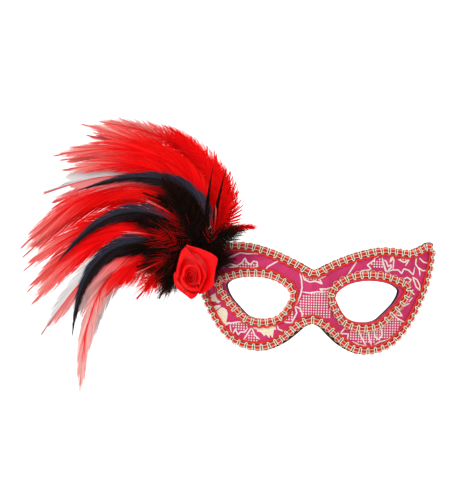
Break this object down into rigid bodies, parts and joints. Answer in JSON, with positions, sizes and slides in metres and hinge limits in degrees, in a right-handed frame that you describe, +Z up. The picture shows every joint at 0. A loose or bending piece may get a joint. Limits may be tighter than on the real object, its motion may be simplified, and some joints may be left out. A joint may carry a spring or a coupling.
{
  "type": "masquerade half mask",
  "caption": "Half face masquerade mask: bent shell covered in brocade, braid round the edge and eyes, ribbon rose and a fan of curved feathers at one temple.",
  "frame": {"origin": "inner face of the nose bridge, on the mask's centre plane, halfway between brow notch and nose arch", "axes": "worn upright: +Z up, the front of the mask faces -Y, +X towards the wearer's left"},
  "size_m": [0.2956, 0.0689, 0.1949],
  "materials": {
    "black_shell": "matt moulded plastic",
    "black_felt": "thin black felt",
    "brocade": "magenta satin ground with raised ivory figure",
    "gimp_braid": "red, gold and ivory gimp",
    "red_satin": "satin ribbon",
    "red_feather": "dyed cock hackle",
    "black_feather": "dyed cock hackle and down"
  },
  "bodies": {
    "root": {"mask_shell": "black_shell", "felt_lining": "black_felt", "brocade_cover": "brocade", "outer_braid": "gimp_braid", "right_eye_braid": "gimp_braid", "left_eye_braid": "gimp_braid", "feather_pad": "black_felt", "rose_bud": "red_satin", "rose_fold_inner_1": "red_satin", "rose_fold_inner_2": "red_satin", "rose_fold_inner_3": "red_satin", "rose_fold_outer_1": "red_satin", "rose_fold_outer_2": "red_satin", "rose_fold_outer_3": "red_satin", "rose_fold_outer_4": "red_satin", "red_feather_1": "red_feather", "red_feather_2": "red_feather", "red_feather_3": "red_feather", "red_feather_4": "red_feather", "red_feather_5": "red_feather", "red_feather_6": "red_feather", "red_feather_7": "red_feather", "red_feather_8": "red_feather", "red_feather_9": "red_feather", "red_feather_10": "red_feather", "red_feather_11": "red_feather", "red_feather_12": "red_feather", "red_feather_13": "red_feather", "red_feather_14": "red_feather", "red_feather_15": "red_feather", "red_feather_16": "red_feather", "red_feather_17": "red_feather", "red_feather_18": "red_feather", "red_feather_19": "red_feather", "red_feather_20": "red_feather", "red_tuft_1": "red_feather", "red_tuft_2": "red_feather", "red_tuft_3": "red_feather", "red_tuft_4": "red_feather", "black_feather_1": "black_feather", "black_feather_2": "black_feather", "black_feather_3": "black_feather", "black_tuft_1": "black_feather", "black_tuft_2": "black_feather", "black_tuft_3": "black_feather", "black_tuft_4": "black_feather", "black_tuft_5": "black_feather", "black_tuft_6": "black_feather", "black_tuft_7": "black_feather", "black_tuft_8": "black_feather"}
  },
  "joints": []
}
